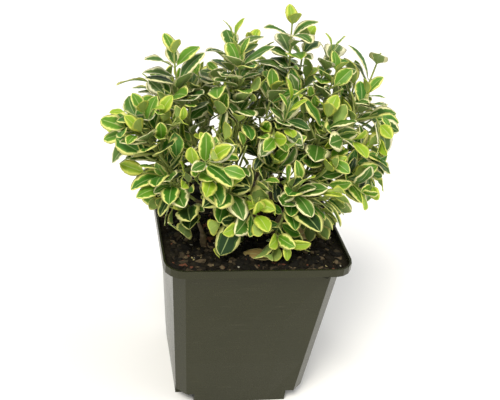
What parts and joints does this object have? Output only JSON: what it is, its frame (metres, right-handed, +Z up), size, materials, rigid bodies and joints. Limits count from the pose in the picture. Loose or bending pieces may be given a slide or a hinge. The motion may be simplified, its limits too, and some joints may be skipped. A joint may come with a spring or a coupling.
{
  "type": "potted variegated shrub",
  "caption": "Small bushy evergreen shrub with green leaves edged in cream, its upright leafy shoots rising from soil in a square tapered nursery pot.",
  "frame": {"origin": "middle of the flat underside of the pot", "axes": "+Z up, front of the pot faces -Y, the crown is widest along X"},
  "size_m": [0.1736, 0.1239, 0.2383],
  "materials": {
    "pot": "satin, faint scuffs",
    "soil": "loose, damp, rough",
    "bark": "smooth young bark",
    "leaves": "leathery, slight sheen, green with cream margins"
  },
  "bodies": {
    "root": {"bough_back_left": "bark", "bough_back_mid": "bark", "bough_back_right": "bark", "bough_centre": "bark", "bough_front_left": "bark", "bough_front_right": "bark", "bough_left_back": "bark", "bough_left_low": "bark", "bough_left_out": "bark", "bough_left_tall": "bark", "bough_middle": "bark", "bough_right_crest": "bark", "bough_right_front": "bark", "bough_right_out": "bark", "bough_right_tall": "bark", "bough_top_back": "bark", "leaves_back_left": "leaves", "leaves_back_mid": "leaves", "leaves_back_right": "leaves", "leaves_centre": "leaves", "leaves_front_left": "leaves", "leaves_front_right": "leaves", "leaves_left_back": "leaves", "leaves_left_low": "leaves", "leaves_left_out": "leaves", "leaves_left_tall": "leaves", "leaves_middle": "leaves", "leaves_right_crest": "leaves", "leaves_right_front": "leaves", "leaves_right_out": "leaves", "leaves_right_tall": "leaves", "leaves_top_back": "leaves", "pot": "pot", "soil": "soil", "stem_core": "bark", "stem_east": "bark", "stem_middle": "bark", "stem_north": "bark", "stem_north_east": "bark", "stem_south": "bark", "stem_south_west": "bark", "stem_west": "bark"}
  },
  "joints": []
}
